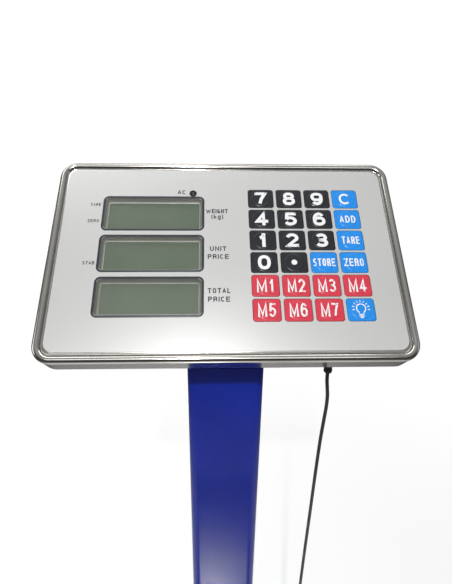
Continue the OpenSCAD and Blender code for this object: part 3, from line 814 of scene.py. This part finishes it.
def revolved_ring(name, profile, centre, material, body="root", space=ROW, turn=None, around=48):
    """A ring of revolution from a closed loop of (radius, height) points."""
    place = Matrix.Translation(centre) @ (turn or Matrix.Identity(4))
    rings = [[place @ Vector((r * math.cos(a), r * math.sin(a), z))
              for a in (2 * math.pi * k / around for k in range(around))] for r, z in profile]
    return add(name, finish_mesh(loft(rings, close_rings=True), name), material, body, space)


def make_led():
    x, y = LED_AT
    revolved_ring("charge_led_ring", [(2.9, FILM_T - 0.1), (3.55, FILM_T - 0.1), (3.62, FILM_T + 0.25),
                                      (3.4, FILM_T + 0.5), (3.05, FILM_T + 0.45), (2.85, FILM_T + 0.1)],
                  (x, y, 0), BLACK_PLASTIC, space=FACE)


make_led()

# ---- Cable glands: ribbed boots ----


def boot_profile(start, tip, r0, r1, ribs):
    """(radius, distance) points of a tapering ribbed sleeve, ending on the axis."""
    points = []
    for k in range(ribs):
        t0, t1 = k / ribs, (k + 0.55) / ribs
        for t, wide in ((t0, 1.0), (t1, 1.0), (t1 + 0.08 / ribs, 0.84), (t0 + 0.92 / ribs, 0.84)):
            points.append(((r0 + (r1 - r0) * t) * wide, start + (tip - start) * t))
    return points


def make_glands():
    x, top = CABLE[0][0], TIP_Z + GLAND_LEN
    body = [(0, 8), (5.8, 8), (5.8, 0), (8.6, 0), (9, -0.4), (9, -4.6), (8.6, -5.2), (7, -7), (4.9, -8)]
    sleeve = boot_profile(-8, -17, 4.7, 4.3, 4)
    tip = [(4.3, -17.2), (4.6, -17.5), (4.6, -20.3), (4.2, -21.3), (3.3, -21.95), (0, -21.98)]
    gland = turned("cable_gland_boot", body + sleeve + tip, (x, COL_Y, top), RUBBER)
    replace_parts(gland, "cable_gland")
    low_lo, low_hi = (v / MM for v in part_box("base_gland"))
    mouth_z = (low_lo.z + low_hi.z) / 2
    rail_back = low_hi.y - 14
    hexed = [(0, 14), (2.9, 14), (3.6, 13.6), (4.5, 6.6), (6.6, 5.2), (7, 4.6), (7, 0.3), (6.7, 0),
             (4, 0), (4, -2), (0, -2)]
    low = turned("base_gland_boot", [(r, -h) for r, h in hexed], (x, rail_back, mouth_z), RUBBER,
                 axis="X")
    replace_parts(low, "base_gland")


make_glands()

# ---- Platter: one sheet with bent edges ----


def make_platter():
    lo, hi = (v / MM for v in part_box("platter"))
    w, d, top, low = hi.x - lo.x, hi.y - lo.y, hi.z, lo.z
    bend, sheet = 4.0, 1.5
    quarter = [math.radians(90 * k / 8) for k in range(9)]
    outer = [(bend - bend * math.cos(a), top - bend + bend * math.sin(a)) for a in quarter]
    inner = [(sheet + (bend - sheet) * (1 - math.cos(a)), top - bend + (bend - sheet) * math.sin(a))
             for a in quarter]
    profile = [*reversed(inner), (sheet, low + 0.3), (sheet - 0.4, low), (0.4, low), (0, low + 0.4), *outer]
    rings = rim_rings(profile, w, d, 8, (0, (lo.y + hi.y) / 2), 8)
    mesh = finish_mesh(loft(rings, cap_first=True, cap_last=True), "platter")
    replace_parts(add("platter_tray", mesh, PLATTER, "platter", ROW), "platter")


make_platter()

# ---- Levelling feet: moulded pad on a threaded stem ----


def make_feet():
    for node in ("foot_front_left", "foot_front_right", "foot_rear_left", "foot_rear_right"):
        lo, hi = (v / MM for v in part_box(node))
        centre = ((lo.x + hi.x) / 2, (lo.y + hi.y) / 2, 0)
        pad = [(0, 0), (17.5, 0), (18, 0.5), (19.4, 0.6), (20, 1.2), (20, 3.8), (19.2, 4.8), (17.4, 6.2),
               (16.6, 7.8), (15.4, 8.5), (10.4, 9.3), (9.6, 9.9), (0, 9.95)]
        thread = [(0, 9), (4.4, 9)]
        z = 10.5
        while z < hi.z - 1.2:
            thread += [(4.25, z), (4.95, z + 0.55), (4.95, z + 0.75)]
            z += 1.5
        thread += [(4.2, hi.z - 0.6), (3.4, hi.z), (0, hi.z)]
        base = turned(f"{node}_pad", pad, centre, RUBBER, node)
        turned(f"{node}_stem", thread, centre, ZINC, node)
        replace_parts(base, node)


make_feet()

# ---- Bubble level on the column's foot ----


def make_level():
    lo, hi = (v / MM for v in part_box("bubble_level"))
    centre = ((lo.x + hi.x) / 2, (lo.y + hi.y) / 2, lo.z)
    housing = revolved_ring("level_housing", [(8.0, 0.1), (9.6, 0), (10, 0.4), (10, 6.2), (9.4, 7), (8.5, 7),
                                              (8.0, 6.6)], centre, ZINC)
    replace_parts(housing, "bubble_level")
    vial = [(0, 0.4), (7.9, 0.4), (7.9, 6.2), (6.4, 6.95), (3.5, 7.4), (0, 7.55)]
    turned("level_vial", vial, centre, LEVEL_FLUID)
    revolved_ring("level_circle", [(2.9, 7.44), (3.3, 7.38), (3.3, 7.5), (2.9, 7.56)], centre, DARK_INK)
    bubble = Vector(centre) + Vector((0.5, 0.3, 0))
    turned("level_bubble", [(0, 7.35), (2.0, 7.42), (1.7, 7.56), (0, 7.59)], bubble, LEVEL_BUBBLE)


make_level()

# ---- Back of the case: hatch, its screws and the louvres ----

HEEL = Vector((0, 148, CASE_FLOOR))
TOP = Vector((0, 194 * C + WALL_H * S, 194 * S - WALL_H * C))


def rear_frame():
    up = (TOP - HEEL).normalized()
    out = Vector((0, up.z, -up.y))
    turn = Matrix((up.cross(out), up, out)).transposed()
    return HEAD @ Matrix.Translation(HEEL) @ turn.to_4x4()


def screw_head(name, centre, radius, body, space):
    """Pan head with a cross recess cut by four notches in its rings."""
    profile = [(1.0, 0.0), (1.0, 0.3), (0.93, 0.46), (0.78, 0.6), (0.55, 0.68), (0.38, 0.7),
               (0.24, 0.45), (0.1, 0.35)]
    rings = []
    for r, h in profile:
        ring = []
        for k in range(32):
            a = 2 * math.pi * k / 32
            cross = 1.0 if 0.12 < r < 0.6 and k % 8 in (3, 4, 5) else 0.0
            low = 0.22 * cross if h > 0.5 else 0.0
            ring.append(Vector(centre) + Vector((r * math.cos(a), r * math.sin(a), h - low)) * radius)
        rings.append(ring)
    bm = loft(rings, cap_first=True, cap_last=True)
    return add(name, finish_mesh(bm, name, 40), ZINC, body, space)


HATCH_W, HATCH_H, HATCH_UP = 136, 84, 66
HATCH_SCREWS = ((-58, 34), (58, 34), (-58, 98), (58, 98))
LOUVRE_W, LOUVRE_H, LOUVRE_X, LOUVRE_Y0, LOUVRE_DY = 34, 4.4, 104, 96, 8


def make_rear():
    rear = rear_frame()
    profile = [(0, -0.2), (0, 0.9), (0.3, 1.2), (1.4, 1.25), (2.2, 0.8), (3.4, 0.8), (4.2, 1.2), (5.2, 1.25)]
    hatch = loft(rim_rings(profile, HATCH_W, HATCH_H, 6, (0, HATCH_UP), 8), cap_first=True, cap_last=True)
    add("battery_hatch", finish_mesh(hatch, "battery_hatch", 30), COVER, "root", rear)
    for i, (x, y) in enumerate(HATCH_SCREWS):
        screw_head(f"hatch_screw_{i}", (x, y, 1.2), 3.0, "root", rear)
    low = [(0, -0.2), (0, 0.3), (0.5, 1.1), (1.3, 1.6), (1.8, 1.7)]
    for side, word in ((-1, "left"), (1, "right")):
        for k in range(7):
            centre = (side * LOUVRE_X, LOUVRE_Y0 + k * LOUVRE_DY)
            bm = loft(rim_rings(low, LOUVRE_W, LOUVRE_H, 2.1, centre, 5), cap_first=True, cap_last=True)
            add(f"louvre_{word}_{k}", finish_mesh(bm, "louvre", 60), COVER, "root", rear)


make_rear()

# ---- CAD nodes that keep their shape ----

for nodes, material in (
    (("back_cover",), COVER), (("face_overlay",), FILM),
    (("lcd_panels",), LCD), (("charge_led",), LED), (("front_board",), BOARD), (("battery",), BATTERY),
    (("column", "column_foot", "head_bracket"), PAINT),
    (("head_screws", "column_bolts", "load_cell_bolts", "foot_nuts"), ZINC),
    (("base_rail_left", "base_rail_right", "base_cross_front", "base_cross_rear", "load_cell_bed",
      "spider_spine", "spider_arm_front", "spider_arm_rear"), BASE_PAINT),
    (("load_cell",), ALUMINIUM), (("platter_pads",), RUBBER),
    (("power_switch", "power_rocker", "power_jack"), BLACK_PLASTIC),
):
    for node in nodes:
        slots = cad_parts[node].material_slots
        for s in slots:
            s.material = material

# ---- Stage and light ----


def area(name, size, at, aim, power, colour):
    data = bpy.data.lights.new(name, "AREA")
    data.shape = "RECTANGLE"
    data.size, data.size_y = size
    data.energy = power
    data.color = colour
    light = bpy.data.objects.new(name, data)
    bpy.context.collection.objects.link(light)
    at, aim = Vector(at), Vector(aim)
    light.matrix_world = Matrix.Translation(at) @ (aim - at).to_track_quat("-Z", "Y").to_matrix().to_4x4()


def studio_world():
    """Pale to the eye; for light and reflections a bright ceiling over a dimmer room."""
    world = bpy.data.worlds.new("studio")
    world.use_nodes = True
    tree = world.node_tree
    new, link = tree.nodes.new, tree.links.new
    coord, split, ramp = new("ShaderNodeTexCoord"), new("ShaderNodeSeparateXYZ"), new("ShaderNodeValToRGB")
    remap = new("ShaderNodeMapRange")
    remap.inputs["From Min"].default_value = -1
    elements = ramp.color_ramp.elements
    while len(elements) < len(SKY):
        elements.new(0.5)
    for element, (at, tone) in zip(elements, SKY):
        element.position, element.color = at, (*tone, 1)
    room, seen, pick = new("ShaderNodeBackground"), new("ShaderNodeBackground"), new("ShaderNodeMixShader")
    path = new("ShaderNodeLightPath")
    link(coord.outputs["Generated"], split.inputs["Vector"])
    link(split.outputs["Z"], remap.inputs["Value"])
    link(remap.outputs["Result"], ramp.inputs["Fac"])
    link(ramp.outputs["Color"], room.inputs["Color"])
    room.inputs["Strength"].default_value = ROOM_LIGHT
    seen.inputs["Color"].default_value = (1, 1, 1, 1)
    link(path.outputs["Is Camera Ray"], pick.inputs["Fac"])
    link(room.outputs["Background"], pick.inputs[1])
    link(seen.outputs["Background"], pick.inputs[2])
    link(pick.outputs["Shader"], tree.nodes["World Output"].inputs["Surface"])
    bpy.context.scene.world = world


def stage_paper():
    """Pale paper that keeps its soft shadow near the object and fades into the backdrop further out."""
    n = Nodes("pale_stage", Specular_IOR_Level=0.1, Roughness=0.8)
    cloud = n.noise(1.2, 2)
    n.to(n.ramp(cloud, [(0.3, (0.93, 0.93, 0.93)), (0.7, (0.96, 0.96, 0.96))]), "Base Color")
    coord, length = n.new("ShaderNodeTexCoord"), n.new("ShaderNodeVectorMath", operation="LENGTH")
    n.link(coord.outputs["Object"], length.inputs[0])
    fade = n.new("ShaderNodeMapRange", interpolation_type="SMOOTHSTEP")
    fade.inputs["From Min"].default_value, fade.inputs["From Max"].default_value = FADE_FROM, FADE_TO
    fade.inputs["To Min"].default_value, fade.inputs["To Max"].default_value = 1.0, 0.0
    n.link(length.outputs["Value"], fade.inputs["Value"])
    n.to(fade.outputs["Result"], "Alpha")
    return n.mat


def make_stage():
    bm = bmesh.new()
    bmesh.ops.create_circle(bm, cap_ends=True, radius=STAGE_R, segments=64)
    mesh = finish_mesh(bm, "stage_floor")
    floor = bpy.data.objects.new("stage_floor", mesh)
    mesh.materials.append(stage_paper())
    bpy.context.collection.objects.link(floor)


ROOM_LIGHT = 1.0
STAGE_R, FADE_FROM, FADE_TO = 1.6, 0.3, 1.5
HEAD_MIDDLE = Vector((0, HEAD_Y + 70, HEAD_Z + 60)) * MM
SKY = (
    # height from straight down, 0, to straight up, 1, and its tone
    (0.00, (0.10, 0.095, 0.09)), (0.46, (0.08, 0.075, 0.07)), (0.58, (0.06, 0.06, 0.06)),
    (0.72, (0.24, 0.245, 0.25)), (0.90, (0.38, 0.385, 0.39)), (1.00, (0.60, 0.605, 0.61)),
)
LAMPS = (
    # name, size in metres, place from the head's middle, power in watts, tone
    ("key", (0.05, 0.05), (-0.10, -1.18, 1.03), 21, (1, 0.99, 0.97)),
    ("front", (1.7, 0.45), (-0.05, -1.30, 0.92), 4.8, (0.93, 0.98, 1)),
    ("overhead", (1.8, 0.35), (-0.10, 0.30, 1.5), 7, (1, 1, 0.98)),
    ("left", (0.5, 1.2), (-1.9, -0.3, 0.3), 5, (1, 1, 1)),
    ("right", (0.5, 1.2), (1.9, -0.3, 0.3), 1.5, (1, 1, 1)),
    ("back", (1.6, 1.4), (-0.7, 1.9, 0.2), 26, (1, 1, 1)),
)


def make_light():
    studio_world()
    for name, size, at, power, tone in LAMPS:
        area(name, size, HEAD_MIDDLE + Vector(at), HEAD_MIDDLE, power, tone)
    bpy.context.scene.view_settings.view_transform = "Standard"


make_stage()
make_light()

bpy.context.view_layer.update()
